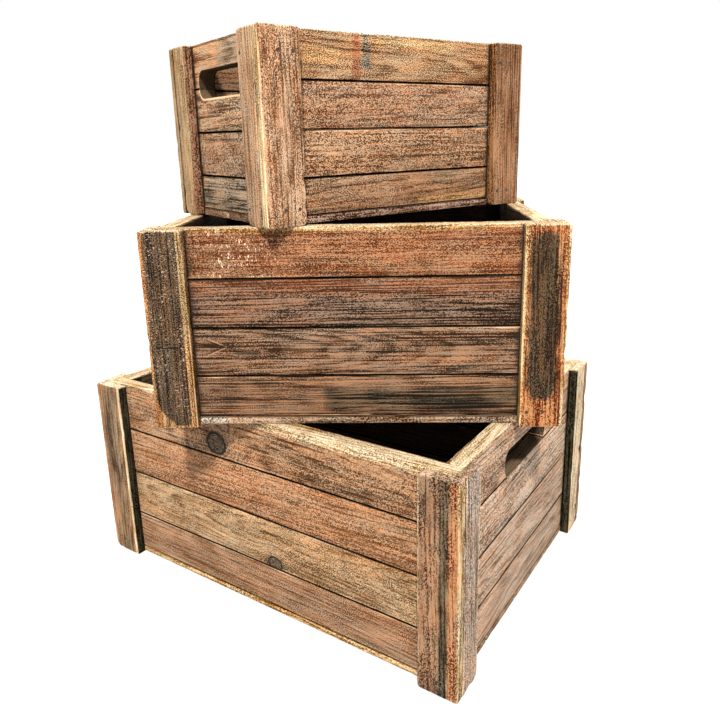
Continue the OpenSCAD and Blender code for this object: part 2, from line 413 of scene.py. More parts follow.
class Nodes:
    """Short calls that add shader nodes and return their output sockets."""

    def __init__(self, material):
        material.use_nodes = True
        self.tree = material.node_tree
        self.shader = self.tree.nodes["Principled BSDF"]

    def put(self, socket, value):
        if isinstance(value, bpy.types.NodeSocket):
            self.tree.links.new(value, socket)
        else:
            socket.default_value = value

    def add(self, kind, *values, **settings):
        """A new node of that kind, with its settings and its first inputs filled in."""
        node = self.tree.nodes.new("ShaderNode" + kind)
        for setting, value in settings.items():
            setattr(node, setting, value)
        for socket, value in zip(node.inputs, values):
            self.put(socket, value)
        return node

    def math(self, operation, *values, clamp=False):
        return self.add("Math", *values, operation=operation, use_clamp=clamp).outputs[0]

    def madd(self, value, factor, addend):
        return self.math("MULTIPLY_ADD", value, factor, addend)

    def times(self, first, second):
        return self.math("MULTIPLY", first, second)

    def plus(self, first, second):
        return self.math("ADD", first, second)

    def minus(self, first, second):
        return self.math("SUBTRACT", first, second)

    def vector(self, operation, *values):
        return self.add("VectorMath", *values, operation=operation).outputs["Vector"]

    def combine(self, *values):
        return self.add("CombineXYZ", *values).outputs[0]

    def split(self, vector):
        return self.add("SeparateXYZ", vector).outputs

    def value_of(self, name, output="Fac"):
        return self.add("Attribute", attribute_name=name).outputs[output]

    def noise(self, vector, detail=2.0, roughness=0.55, output="Fac"):
        node = self.add("TexNoise", vector)
        node.inputs["Scale"].default_value = 1.0
        node.inputs["Detail"].default_value = detail
        node.inputs["Roughness"].default_value = roughness
        return node.outputs[output]

    def step(self, value, low, high, to_low=0.0, to_high=1.0):
        """A smooth step of the value between low and high."""
        node = self.add("MapRange", value, low, high, to_low, to_high, interpolation_type="SMOOTHSTEP")
        return node.outputs[0]

    def ramp(self, value, stops):
        node = self.add("ValToRGB", value)
        band = node.color_ramp
        while len(band.elements) < len(stops):
            band.elements.new(0.5)
        for element, (place, colour) in zip(band.elements, stops):
            element.position = place
            element.color = colour
        return node.outputs[0]

    def mix(self, amount, first, second, blend="MIX"):
        node = self.add("Mix", data_type="RGBA", blend_type=blend)
        self.put(node.inputs["Factor"], amount)
        self.put(node.inputs["A"], first)
        self.put(node.inputs["B"], second)
        return node.outputs["Result"]


def saturated(colour, amount):
    """The colour with its distance from grey multiplied by amount."""
    grey = 0.3 * colour[0] + 0.6 * colour[1] + 0.1 * colour[2]
    return [max(0.0, grey + (c - grey) * amount) for c in colour[:3]] + [1.0]


def tone_stops(tones):
    """Five stops from three tones: shadowed grain, dark, middle, light and bare wood."""
    dark, middle, light = ([c * TONE_SCALE for c in rgb(tone)[:3]] + [1.0] for tone in tones)
    dark, light = saturated(dark, 1.25), saturated(light, 0.9)
    deep = [c * 0.45 for c in dark[:3]] + [1.0]
    bare = [min(1.0, c * 1.3) for c in light[:3]] + [1.0]
    return [(0.0, deep), (0.22, dark), (0.5, middle), (0.78, light), (1.0, bare)]


# Cool and warm tints of the boards, the steepness of a pointed grain figure, and tones of rims
TINTS = ((0.92, 1.02, 1.03, 1.0), (1.12, 0.94, 0.74, 1.0))
WARM_TINTS = ((0.92, 1.01, 0.99, 1.0), (1.15, 0.93, 0.7, 1.0))
FLAME_SLOPE = 2.3
RIM_TONES = ("#7d5833", "#d2a974", "#f7e0b6")
BROWN_RIM = ("#4e3826", "#9a7555", "#d3ae8a")

BASE_LOOK = dict(
    rings=3.2,          # ring spacing across the board
    pith=(6.0, -28.0),  # middle of the rings in y and z
    lean=0.04,          # how fast the board leaves the pith along x
    warp=5.0,           # sideways wander of the grain
    fibre=1.0,          # contrast of the fine fibres
    length=16.0,        # length of the fibres
    late=0.5,           # contrast of the rings
    streaks=1.0,        # contrast of long streaks
    blotch=1.0,         # contrast of wide blotches
    speckle=1.0,        # contrast of the sanded flecks
    cracks=0.4,         # fine dark and pale lines
    calm=0.5,           # how much of the fine grain is left where it is sanded most
    scuffs=0.0,         # short pale marks across the grain, and where along the board they gather
    scuff_zone=(-400, 400),
    edge=0.4,           # how far the arrises are worn pale, over which width, and in which tone
    edge_width=1.4,
    edge_tone="#d9b187",
    ends=0.0,           # grime and painted shade next to the posts, and a painted contact shadow where they cover the board, for the wall boards
    shade=1.0,          # brightness against the tones given; above 1 on the end boards and end battens it is painted light, making up for the weaker key light on faces turned from it
    inside=0.2,         # painted shade: brightness of the face that looks into the crate
    lip=0.6,            # how pale the arris under the hand hole is
    hollow=0.88,        # how strongly the inside of the hand hole and the edge under it are painted dark as shade
    side=None,          # tones of the narrow faces, where they differ
    rim=RIM_TONES,      # tones of the faces at the rim
    tints=TINTS,        # cool and warm tints, mixed over the board
    patches=(),         # parts in other tones, made by patch()
    knots=(),           # x, y and radius of each knot
    flames=(),          # pointed grain figures: tip in x and y, and length
)
# Painted shade for the narrow faces deep in the gaps between boards and inside the hand holes, and tones of
# knots, grime and painted shade beside the posts, scuffs and hole arrises
GAP_SHADE_TONES = ("#0c0906", "#1a130c", "#35281a")
KNOT_CLOUD = ("#2c2014", "#5d4730", "#8a6c4b")
KNOT_HEART = ("#1d150d", "#5a452e", "#a58a64")
KNOT_RIM = "#0d0905"
GRIME_AND_SHADE = "#1d170f"
SCUFF = "#f3cfb0"
HOLE_LIP = "#e2b88c"


def patch(x_range, y_range, tones, soft=2.0, ragged=3.0, amount=1.0, corners=None):
    """A part of a board in other tones: its limits, how soft and ragged its border is, how strong it
    is, and its corner radii in the order of a batten's: foot left, head left, head right, foot right."""
    return dict(x=x_range, y=y_range, tones=tones, soft=soft, ragged=ragged, amount=amount,
                corner=3.0, corners=corners)


def patch_mask(n, part, x, y, fibre, streak, blotch):
    """1 inside a patch and 0 outside it, with a soft and ragged border."""
    (left, right), (bottom, top) = part["x"], part["y"]
    middle_x, middle_y = (left + right) / 2, (bottom + top) / 2
    past_x = n.minus(n.math("ABSOLUTE", n.minus(x, middle_x)), (right - left) / 2)
    past_y = n.minus(n.math("ABSOLUTE", n.minus(y, middle_y)), (top - bottom) / 2)
    corner = part["corner"]
    if part["corners"]:
        foot_left, head_left, head_right, foot_right = part["corners"]
        head = n.step(x, middle_x - 1, middle_x + 1)
        on_left = n.step(head, 0, 1, foot_left, head_left)
        on_right = n.step(head, 0, 1, foot_right, head_right)
        corner = n.step(y, middle_y - 1, middle_y + 1, on_left, on_right)
    out_x = n.math("MAXIMUM", n.plus(past_x, corner), 0.0)
    out_y = n.math("MAXIMUM", n.plus(past_y, corner), 0.0)
    out = n.plus(n.times(out_x, out_x), n.times(out_y, out_y))
    out = n.minus(n.math("SQRT", out), corner)
    out = n.madd(fibre, 1.5 * part["ragged"], out)
    out = n.madd(streak, 2.0 * part["ragged"], out)
    out = n.madd(blotch, 2.5 * part["ragged"], out)
    return n.times(n.step(out, part["soft"], -part["soft"]), part["amount"])


def with_flame(n, tone, flame, x, y, fibre):
    """The tone with a pointed grain figure: a pale line, and a dark one behind it."""
    tip_x, tip_y, reach = flame
    out = n.times(n.math("ABSOLUTE", n.minus(y, tip_y)), FLAME_SLOPE)
    behind = n.minus(tip_x, n.plus(n.madd(fibre, 1.5, x), out))
    pale = n.times(n.step(behind, 0.0, 1.0), n.step(behind, 4.5, 3.0, 0.0, 0.6))
    dark = n.times(n.step(behind, 4.0, 5.0), n.step(behind, 8.5, 6.5, 0.0, 0.5))
    zone = n.step(x, tip_x - reach, tip_x - 0.7 * reach)
    return n.madd(zone, n.minus(pale, dark), tone)


def with_scuffs(n, colour, look, away, x, blotch):
    """The colour with short pale marks across the grain, most of them in the scuff zone."""
    first, last = look["scuff_zone"]
    mark = n.noise(n.vector("MULTIPLY", away, (1 / 1.0, 1 / 2.8, 1 / 2.8)), 2.0)
    zone = n.times(n.step(x, first - 15, first + 15), n.step(x, last + 15, last - 15))
    mark = n.times(n.step(mark, 0.58, 0.68), n.madd(zone, 0.9, 0.1))
    mark = n.times(mark, n.step(blotch, -0.1, 0.1))
    return n.mix(n.times(mark, look["scuffs"]), colour, rgb(SCUFF))


def with_knot(n, colour, tone, fleck, far, size):
    """The colour with a knot: a darkened cloud, a whorled heart and a near-black rim. far is the
    distance from its middle, 1 at its rim."""
    cloud = n.times(n.step(far, 2.3, 1.0), 0.5)
    colour = n.mix(cloud, colour, n.ramp(tone, tone_stops(KNOT_CLOUD)))
    whorl = n.math("PINGPONG", n.times(far, size / 1.7), 0.5)
    whorl = n.madd(fleck, 1.2, n.madd(whorl, 1.3, 0.15))
    colour = n.mix(n.step(far, 1.1, 0.9), colour, n.ramp(whorl, tone_stops(KNOT_HEART)))
    rim = n.step(n.math("ABSOLUTE", n.minus(far, 1.0)), 0.22, 0.05)
    return n.mix(n.times(rim, 0.9), colour, rgb(KNOT_RIM))


def with_grime_and_post_shade(n, colour, amount, blotch):
    """The colour with grime and painted shade beside the posts, and a painted contact shadow where a post
    covers the board.
    """
    from_post = n.value_of("post_gap")
    # a band of grime and painted shade beside the post
    grime_and_shade = n.madd(blotch, 14.0, from_post)
    dark = n.times(n.step(grime_and_shade, 5.5, 0.0), amount)
    # painted contact shadow along the line where the post covers the board
    dark = n.math("MAXIMUM", dark, n.times(n.step(from_post, 1.6, 0.6), 0.9))
    return n.mix(dark, colour, rgb(GRIME_AND_SHADE))


def wood(name, tones, **changes):
    """Stained, sanded and weathered fir."""
    look = dict(BASE_LOOK, **changes)
    material = bpy.data.materials.new(name)
    n = Nodes(material)
    place = n.value_of("board", "Vector")
    half = n.split(n.value_of("half", "Vector"))
    seed = n.value_of("seed")
    rise = n.value_of("rise")
    x, y, z = n.split(place)
    seed_shift = n.vector("MULTIPLY", (97.0, 61.0, 43.0), n.combine(seed, seed, seed))
    away = n.vector("ADD", place, seed_shift)

    def field(length, width, detail, roughness=0.55, output="Fac"):
        """Noise whose grains have that length and width."""
        scaled = n.vector("MULTIPLY", away, (1 / length, 1 / width, 1 / width))
        return n.noise(scaled, detail, roughness, output)

    def centred(value):
        return n.minus(value, 0.5)

    wander = n.split(field(120.0, 30.0, 2.0, 0.5, "Color"))
    fibre = centred(field(look["length"], 0.9, 1.0, 0.8))
    streak = centred(field(150.0, 2.6, 2.0, 0.75))
    blotch = centred(field(34.0, 11.0, 2.0, 0.6))
    fine = n.split(field(4.5, 1.5, 1.0, 0.95, "Color"))
    fleck = centred(fine[0])
    grit = centred(field(1.1, 0.8, 0.0))
    lines = field(110.0, 1.7, 1.0)

    # growth rings round a pith that leans away from the board, pushed aside by the knots
    low = n.madd(centred(wander[1]), 2 * look["warp"], n.minus(y, look["pith"][0]))
    deep = n.madd(x, look["lean"], n.minus(z, look["pith"][1]))
    deep = n.madd(centred(wander[2]), 2 * look["warp"], deep)
    radius = n.math("SQRT", n.plus(n.times(low, low), n.times(deep, deep)))
    knots = []
    for knot_x, knot_y, knot_size in look["knots"]:
        dx = n.math("DIVIDE", n.minus(x, knot_x), knot_size)
        dy = n.math("DIVIDE", n.minus(y, knot_y), knot_size)
        far = n.madd(dx, n.times(dx, 0.85), n.times(dy, dy))
        far = n.math("SQRT", far)
        far = n.madd(blotch, 0.5, n.madd(fleck, 0.15, far))
        bulge = n.math("EXPONENT", n.times(n.times(far, far), -0.22))
        radius = n.madd(bulge, 2.2 * knot_size, radius)
        knots.append((far, knot_size))
    phase = n.math("FRACT", n.madd(fibre, 0.5, n.math("DIVIDE", radius, look["rings"])))
    late = n.times(n.step(phase, 0.35, 0.88), n.step(phase, 1.0, 0.9))
    late = n.times(late, n.step(streak, -0.12, 0.1, 1.3, 0.35))

    # fine grain, which is strong in some places and nearly sanded away in others
    grain = n.times(fibre, 1.15 * look["fibre"])
    grain = n.madd(fleck, 0.9 * look["speckle"], grain)
    grain = n.madd(grit, 4.0 * look["speckle"], grain)
    grain = n.madd(n.step(lines, 0.44, 0.37), -look["cracks"], grain)
    grain = n.madd(n.step(lines, 0.57, 0.64), 0.6 * look["cracks"], grain)
    busy = n.step(field(60.0, 13.0, 1.0), 0.38, 0.62, look["calm"], 1.2)

    # the tone, from 0 in the darkest grain to 1 on bare wood
    tone = n.madd(grain, busy, 0.52 + look["late"] * 0.3)
    tone = n.madd(streak, 0.6 * look["streaks"], tone)
    tone = n.madd(blotch, 1.3 * look["blotch"], tone)
    tone = n.madd(centred(wander[0]), 0.9 * look["blotch"], tone)
    for flame in look["flames"]:
        tone = with_flame(n, tone, flame, x, y, fibre)
    tone = n.math("MULTIPLY_ADD", late, -look["late"], tone, clamp=True)

    colour = n.ramp(tone, tone_stops(tones))
    for part in look["patches"]:
        mask = patch_mask(n, part, x, y, fibre, streak, blotch)
        colour = n.mix(mask, colour, n.ramp(tone, tone_stops(part["tones"])))
    hue = n.madd(centred(fine[1]), 0.7, centred(field(34.0, 6.0, 2.0, 0.7)))
    hue = n.madd(centred(wander[1]), 0.5, hue)
    tint = n.mix(n.step(hue, -0.22, 0.22), *look["tints"])
    if look["shade"] != 1:
        tint = n.mix(1.0, tint, [look["shade"]] * 3 + [1.0], "MULTIPLY")
    colour = n.mix(1.0, colour, tint, "MULTIPLY")
    if look["scuffs"]:
        colour = with_scuffs(n, colour, look, away, x, blotch)
    for far, knot_size in knots:
        colour = with_knot(n, colour, tone, fleck, far, knot_size)
    # grime and painted shade beside the posts, and a painted contact shadow under their edges
    if look["ends"]:
        colour = with_grime_and_post_shade(n, colour, look["ends"], blotch)

    # distances to the board's faces and nearest arris, and pale worn arrises
    gap_x = n.minus(half[0], n.math("ABSOLUTE", x))
    gap_y = n.minus(half[1], n.math("ABSOLUTE", y))
    gap_z = n.minus(half[2], n.math("ABSOLUTE", z))
    smaller = n.math("MINIMUM", gap_x, gap_y)
    larger = n.math("MAXIMUM", gap_x, gap_y)
    arris = n.math("MAXIMUM", smaller, n.math("MINIMUM", larger, gap_z))
    rough_arris = n.madd(streak, -7.0, n.madd(blotch, -5.0, arris))
    worn = n.times(n.step(rough_arris, look["edge_width"], 0.0), look["edge"])
    colour = n.mix(worn, colour, rgb(look["edge_tone"]))

    # narrow faces, painted dark as shade in the gaps between slats, the hand hole's arris, painted shade
    # inside the hole, the rim, and painted shade on the face that looks into the crate
    hole_edge = n.value_of("hole_gap")
    # the narrow faces; on slats their tones are painted shade in the gaps
    narrow = n.step(gap_y, 1.35, 0.7)
    sill = n.times(narrow, n.step(hole_edge, 2.5, 1.2))
    narrow = n.minus(narrow, sill)
    if look["side"]:
        colour = n.mix(narrow, colour, n.ramp(tone, tone_stops(look["side"])))
    lip = n.step(n.madd(streak, 6.0, hole_edge), 3.0, 0.9)
    lip = n.times(lip, n.step(y, -3.0, 3.0, 0.12, look["lip"]))
    colour = n.mix(lip, colour, rgb(HOLE_LIP))
    # painted shade inside the hand hole and on the board edge under it
    hollow = n.math("MAXIMUM", n.step(hole_edge, 0.6, 0.15), sill)
    colour = n.mix(n.times(hollow, look["hollow"]), colour, rgb(GAP_SHADE_TONES[0]))
    rim_tone = n.madd(tone, 0.8, 0.15)
    colour = n.mix(n.step(rise, 1.6, 0.7), colour, n.ramp(rim_tone, tone_stops(look["rim"])))
    # painted shade: the face that looks into the crate is darkened below the rim
    inner = n.step(n.plus(z, half[2]), 2.0, 1.2)
    inner = n.times(inner, n.step(rise, 1.0, 2.5))
    shade = [look["inside"]] * 3 + [1.0]
    colour = n.mix(inner, colour, n.mix(1.0, colour, shade, "MULTIPLY"))

    bump = n.add("Bump")
    n.put(bump.inputs["Strength"], 0.6)
    n.put(bump.inputs["Distance"], 0.6 * MM)
    n.put(bump.inputs["Height"], tone)
    n.put(n.shader.inputs["Base Color"], colour)
    n.put(n.shader.inputs["Roughness"], n.step(tone, 0.0, 1.0, 0.8, 0.62))
    n.put(n.shader.inputs["Normal"], bump.outputs[0])
    gloss = n.times(n.minus(1.0, narrow), n.minus(1.0, hollow))
    n.put(n.shader.inputs["Specular IOR Level"], n.times(gloss, 0.12))
    return material


# Rust flecks per metre
RUST_GRAIN = 900.0


def nail_metal():
    """Dulled steel with rust flecks."""
    material = bpy.data.materials.new("nail_steel")
    n = Nodes(material)
    where = n.add("TexCoord").outputs["Object"]
    rust = n.noise(n.vector("MULTIPLY", where, (RUST_GRAIN, RUST_GRAIN, RUST_GRAIN)), 3.0, 0.7)
    colour = n.ramp(rust, [(0.3, rgb("#1d1a17")), (0.5, rgb("#3a332c")),
                           (0.62, rgb("#5d4330")), (0.75, rgb("#7b5538"))])
    n.put(n.shader.inputs["Base Color"], colour)
    n.put(n.shader.inputs["Metallic"], 0.6)
    n.put(n.shader.inputs["Roughness"], 0.5)
    return material


# Tones of each crate's boards where nothing more is said
CRATE_TONES = {
    "large": ("#7d5a3e", "#ad8060", "#d6aa84"),
    "medium": ("#5a3d27", "#8a6448", "#b58d70"),
    "small": ("#80593c", "#ab7f5e", "#d6a680"),
}
GOLD = ("#a9713f", "#dba364", "#f3cc92")
CREAM = ("#b98f62", "#e9c594", "#fbe6c0")
ORANGE = ("#8f4f24", "#c47c42", "#e2a468")
GREEN_BLACK = ("#15140c", "#2e2a1c", "#4f4632")
WHOLE_LENGTH = (-230, 230)


def stripe(bottom, top, tones, soft, ragged, amount=1.0):
    """A patch that runs along the whole board."""
    return patch(WHOLE_LENGTH, (bottom, top), tones, soft, ragged, amount)


def pale_edge(bottom, top, amount=1.0):
    return stripe(bottom, top, CREAM, 0.8, 0.8, amount)


LOOKS = {
    "large_front_slat_1": (("#6b4c33", "#a47755", "#cf9d74"), dict(
        knots=((-52, -11, 11.5),), pith=(-14, -30), lean=0.07,
        patches=(patch((-90, 190), (18, 30), CREAM, 2.0, 2.5, 0.85),))),
    "large_front_slat_2": (("#8d6446", "#b4825c", "#cf9a72"), dict(pith=(60, -60), rings=3.4, fibre=0.8)),
    "large_front_slat_3": (("#85603f", "#bb8e64", "#e0b586"), dict(
        shade=0.84, knots=((19, -21, 7.5),), pith=(10, -22), lean=-0.06, scuffs=0.3)),
    "large_front_slat_4": (("#835d42", "#aa7f60", "#c69a78"), dict(
        shade=0.92, pith=(-50, -40), patches=(stripe(-26, -20, GOLD, 1.0, 1.2, 0.9),))),
    "large_front_left_post.side": (("#5f422a", "#8d6746", "#b98d68"), dict(streaks=0.7, blotch=1.3, shade=1.1,
        pith=(40, -40), side=GREEN_BLACK, patches=(
            stripe(-24, -16, ORANGE, 1.5, 1.5),
            stripe(-6, 8, ("#2f2c1d", "#5c503a", "#84704f"), 4.0, 3.0, 0.7),
            pale_edge(15, 24)))),
    "large_front_right_post.side": (("#5f4230", "#94694c", "#c4946e"), dict(
        shade=0.84, rim=BROWN_RIM, fibre=0.7, calm=0.3,
        pith=(-50, -30), streaks=0.7, blotch=1.4, patches=(
            stripe(9, 18, ("#843f1c", "#bd7140", "#df9c63"), 3.0, 3.0, 0.9),
            stripe(0.5, 9, ("#1e1d12", "#4b432c", "#75664a"), 2.0, 2.0, 0.85),
            patch((60, 110), (-16, 12), ("#3a2c1d", "#6c5239", "#96765a"), 6.0, 4.0, 0.6),
            pale_edge(18, 24),
            pale_edge(-24, -18.7, 0.8)))),
    # shade above 1 on these end battens and end slats is painted light for the key light that reaches them
    # weakly
    "large_front_right_post.end": (("#7f6652", "#b39784", "#dcc2b0"), dict(
        shade=1.15, rim=BROWN_RIM, pith=(-40, -20),
        patches=(pale_edge(12.5, 17),))),
    "large_back_right_post.end": (("#95765a", "#ceb08e", "#f6dab4"), dict(
        shade=1.12, side=GREEN_BLACK, patches=(stripe(-17, -9, CREAM, 1.0, 1.0),))),
    "large_right_end_slat_1": (("#664a36", "#a88065", "#dcb596"), dict(
        shade=1.25, ends=0.6, pith=(-20, -30), lip=0.2)),
    "large_right_end_slat_2": (("#846750", "#b8977f", "#e2c1a9"), dict(
        shade=1.18, ends=0.6, pith=(40, -30), lip=0.2, hollow=0.82)),
    "large_right_end_slat_3": (("#8f6f57", "#bb9982", "#d9b9a1"), dict(
        shade=1.25, ends=0.6, pith=(-30, -40))),
    "large_right_end_slat_4": (("#886850", "#b48f75", "#dab89e"), dict(shade=1.16, ends=0.6, pith=(10, -30))),
    "medium_front_slat_1": (("#7c4729", "#aa6d48", "#cf9468"), dict(shade=0.75, tints=WARM_TINTS,
        pith=(70, -50), rings=2.6, late=0.2, streaks=0.7, speckle=0.8, length=40, ends=0.6,
        scuffs=0.8, scuff_zone=(-140, -70),
        patches=(stripe(18, 26, GOLD, 1.2, 2.0, 0.95),))),
    "medium_front_slat_2": (("#33200f", "#78543b", "#b98c70"), dict(shade=0.66, tints=WARM_TINTS,
        pith=(60, -10), rings=2.6, fibre=1.8, length=45, speckle=0.65, streaks=1.4, cracks=1.0, ends=0.6,
        patches=(stripe(8, 26, ("#7b4a2e", "#a06a49", "#c08c6c"), 1.5, 2.0),))),
    "medium_front_slat_3": (("#4c331e", "#836046", "#b48c70"), dict(shade=0.79, tints=WARM_TINTS,
        flames=((-117, 5, 26),),
        pith=(2, -16), rings=3.6, lean=0.1, ends=0.85, fibre=1.6, length=35, speckle=0.65, cracks=0.8,
        patches=(
            patch((40, 130), (-12, -4), ("#7c4a2a", "#b0764c", "#cf9468"), 3.0, 4.0, 0.6),
            patch((-112, -88), (-3, 2), ("#120d07", "#2a2014", "#54432f"), 2.0, 1.4, 0.9)))),
    "medium_base_boards.1": (("#6a4832", "#a27c60", "#d8b698"), dict(
        shade=0.85, blotch=1.3, speckle=1.3, patches=(
            patch((-200, -125), (-100, 100), ("#9a8269", "#d9c4ac", "#fdf0de"), 8.0, 4.0, 0.9),))),
    "large_base_boards.1": (("#6a4c32", "#94704f", "#b8936c"), dict(side=GOLD)),
    "small_base_boards.1": (("#6a4a34", "#94694c", "#b58a6a"), dict(
        blotch=1.6, side=("#6a4a38", "#b48668", "#d8ac90"))),
    "medium_front_slat_4": (("#432b18", "#825b40", "#c08e69"), dict(shade=0.64, tints=WARM_TINTS,
        pith=(50, -10), rings=2.8, ends=0.6, fibre=1.8, length=40, speckle=0.65, cracks=0.9, streaks=1.3,
        patches=(patch((-30, 190), (-12, 8), ("#28241a", "#51462f", "#7e6a4c"), 4.0, 5.0, 0.8),))),
    "medium_front_left_post.side": (("#96602f", "#c9914f", "#e9be84"), dict(
        shade=0.7, tints=WARM_TINTS, pith=(-60, -20), rings=2.4, fibre=1.2, streaks=1.2, speckle=1.6,
        cracks=1.0, calm=0.8,
        scuffs=0.35, patches=(
            stripe(-24, -14, ("#94501c", "#cd7f3a", "#e9ad6a"), 1.0, 0.5),
            patch((-91, 97), (-16.6, 14.0), ("#1a1006", "#4d361e", "#8c6c4c"), 0.6, 0.35, 1.0,
                  (27.0, 9.0, 2.0, 2.0)),
            patch((-15, -13), (-15, 9), ("#0a0704", "#130d07", "#241a10"), 0.7, 0.4, 0.9)))),
    "medium_front_right_post.side": (("#7d3f18", "#b46a36", "#dc965c"), dict(
        shade=0.86, tints=WARM_TINTS, side=("#a8733c", "#daa462", "#f1cb92"),
        pith=(-80, -60), cracks=0.5, streaks=0.6, blotch=1.3, fibre=0.7, speckle=0.7, patches=(
            patch((-66, 86), (-14, 12), ("#2b1e10", "#503a22", "#6e5335"), 3.0, 5.0, 1.0,
                  (9.0, 9.0, 9.0, 9.0)),
            stripe(-22, -17, ("#b07c44", "#e2ae70", "#f6d6a2"), 1.0, 0.8, 0.9),
            pale_edge(17, 22, 0.9)))),
    "small_front_slat_1": (("#83593b", "#b3845f", "#e2b080"), dict(
        ends=0.5, pith=(-10, -24), streaks=1.3, speckle=1.4, patches=(
            patch((-30, 66), (9, 18), GOLD, 2.0, 3.0, 0.8),
            patch((-112, -70), (-7, 6), GOLD, 3.0, 4.0, 0.7),
            patch((-57, -48), (-30, 30), ("#7f4228", "#ab623f", "#c98058"), 2.0, 1.5, 0.8),
            patch((-47, -37), (-8, 30), ("#14100c", "#4a3d30", "#b3a18a"), 2.0, 3.5, 0.95)))),
    "small_front_slat_2": (("#80573b", "#ad7f60", "#d2a380"), dict(
        ends=0.5, pith=(30, -30), speckle=1.6, scuffs=0.2)),
    "small_front_slat_3": (("#79543a", "#a67b5c", "#d8a67e"), dict(
        shade=1.02, ends=0.5, pith=(-30, -20), streaks=1.4, speckle=1.4)),
    "small_front_slat_4": (("#6f5038", "#9d7455", "#cb9a74"), dict(
        shade=1.06, ends=0.5, pith=(20, -20), speckle=1.4,
        patches=(patch((20, 118), (-15, -9), GOLD, 2.0, 2.5, 0.8),))),
    "small_front_left_post.side": (("#936547", "#c4906c", "#e6b58e"), dict(
        pith=(-40, -25), streaks=0.6, speckle=0.8, blotch=1.3, patches=(
            pale_edge(-24, -18.5),))),
    "small_front_left_post.end": (("#8f6848", "#c0936e", "#dcb08a"), dict(pith=(-30, -30))),
    "small_front_right_post.side": (("#744e33", "#9b6d4d", "#ba8964"), dict(
        fibre=0.7, streaks=0.6, pith=(-60, -30), speckle=0.6, side=("#5f3c22", "#935c35", "#b98150"))),
    "small_back_left_post.end": (("#97703f", "#c79b6c", "#e2ba8c"), dict(
        pith=(50, -20), side=("#6d462f", "#95674a", "#b18463"))),
    "small_back_left_post.side": (CRATE_TONES["small"], dict(side=("#97703f", "#c79b6c", "#e2ba8c"))),
    # less painted shade on the back wall's inner face, which the key light reaches through the hand hole
    "small_back_slat_1": (CRATE_TONES["small"], dict(inside=0.8)),
    "small_back_slat_2": (CRATE_TONES["small"], dict(inside=0.8)),
    # shade above 1 on these end slats is painted light for the key light that reaches them weakly
    "small_left_end_slat_1": (("#775c46", "#a2866c", "#c8aa8c"), dict(
        shade=1.12, ends=0.5,
        patches=(patch((-100, -5), (-30, 30), ("#93593a", "#c68c60", "#e8b98c"), 3.0, 3.0),))),
    "small_left_end_slat_2": (("#6c5038", "#a97f61", "#deb28c"), dict(shade=1.1, ends=0.5, streaks=1.4)),
    "small_left_end_slat_3": (("#6f5138", "#a47d60", "#cda382"), dict(shade=1.02, ends=0.5, speckle=1.6)),
    "small_left_end_slat_4": (("#3f3626", "#85705a", "#c9aa8c"), dict(
        ends=0.4, fibre=1.4, streaks=1.6, cracks=0.8)),
}

# Worn corners of some battens: radii at foot left, head left, head right and foot right
CORNERS = {
    "large_front_left_post.side": (9.0, 4.0, 2.0, 2.0),
    "large_front_right_post.side": (3.5, 5.0, 2.0, 2.5),
    "large_front_right_post.end": (2.0, 2.0, 2.5, 8.0),
    "large_back_right_post.end": (2.0, 2.0, 3.0, 8.0),
    "medium_front_left_post.side": (3.0, 2.0, 2.0, 2.0),
    "medium_front_right_post.side": (2.0, 2.0, 2.5, 3.0),
    "small_front_left_post.side": (2.5, 2.0, 3.0, 5.0),
    "small_front_left_post.end": (8.0, 3.0, 2.0, 2.0),
    "small_front_right_post.side": (2.5, 2.0, 3.0, 2.5),
    "small_back_left_post.end": (10.0, 4.0, 2.0, 2.5),
}
made_materials = {}


def material_for(key, crate, kind):
    """The wood of a named board, or the crate's general wood for that kind of board."""
    # the slats' narrow faces, deep in the gaps, take painted shade
    gap_sides = {"side": GAP_SHADE_TONES} if kind == "slats" else {}
    if key in LOOKS:
        tones, changes = LOOKS[key]
        return wood(key, tones, **dict(gap_sides, **changes))
    general = f"{crate.name}_{kind}"
    if general not in made_materials:
        changes = {"ends": 0.5} if kind == "slats" else {"streaks": 0.7}
        made_materials[general] = wood(general, CRATE_TONES[crate.name], **dict(gap_sides, **changes))
    return made_materials[general]


# ---------------------------------------------------------------- crates

LONG = {"front": Vector((0, -1, 0)), "back": Vector((0, 1, 0))}
END = {"left": Vector((-1, 0, 0)), "right": Vector((1, 0, 0))}
UP = Vector((0, 0, 1))
LEVEL = Vector((0, 0, 0))


def finish_piece(piece, crate, node):
    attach(piece, crate.body)
    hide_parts(node)


def hand_hole(crate, side):
    """Half length of the end wall's slot and the height of its upper side, from the CAD boards."""
    points = solids(crate, f"{crate.name}_{side}_end_slat_1")[0]
    reach = max(abs(p.y) for p in points) - END_MARGIN
    inner = [p for p in points if abs(p.y) < reach]
    return max(abs(p.y) for p in inner), max(p.z for p in inner)


def slot_in(board, hole_length, hole_top, number):
    """The slot as the two upper end boards see it, even if it ends just above the second board."""
    if number == 1:
        return hole_length, hole_top - board.middle.z, 1
    if number == 2:
        return hole_length, hole_top - HOLE_HEIGHT - board.middle.z, -1
    return None


def clear_lengths(crate):
    """Half the length of the long walls and of the end walls between their posts."""
    side, end = sorted(solids(crate, crate.name + "_front_left_post"),
                       key=lambda points: max(p.y for p in points))
    return -max(p.x for p in side), -max(p.y for p in end)


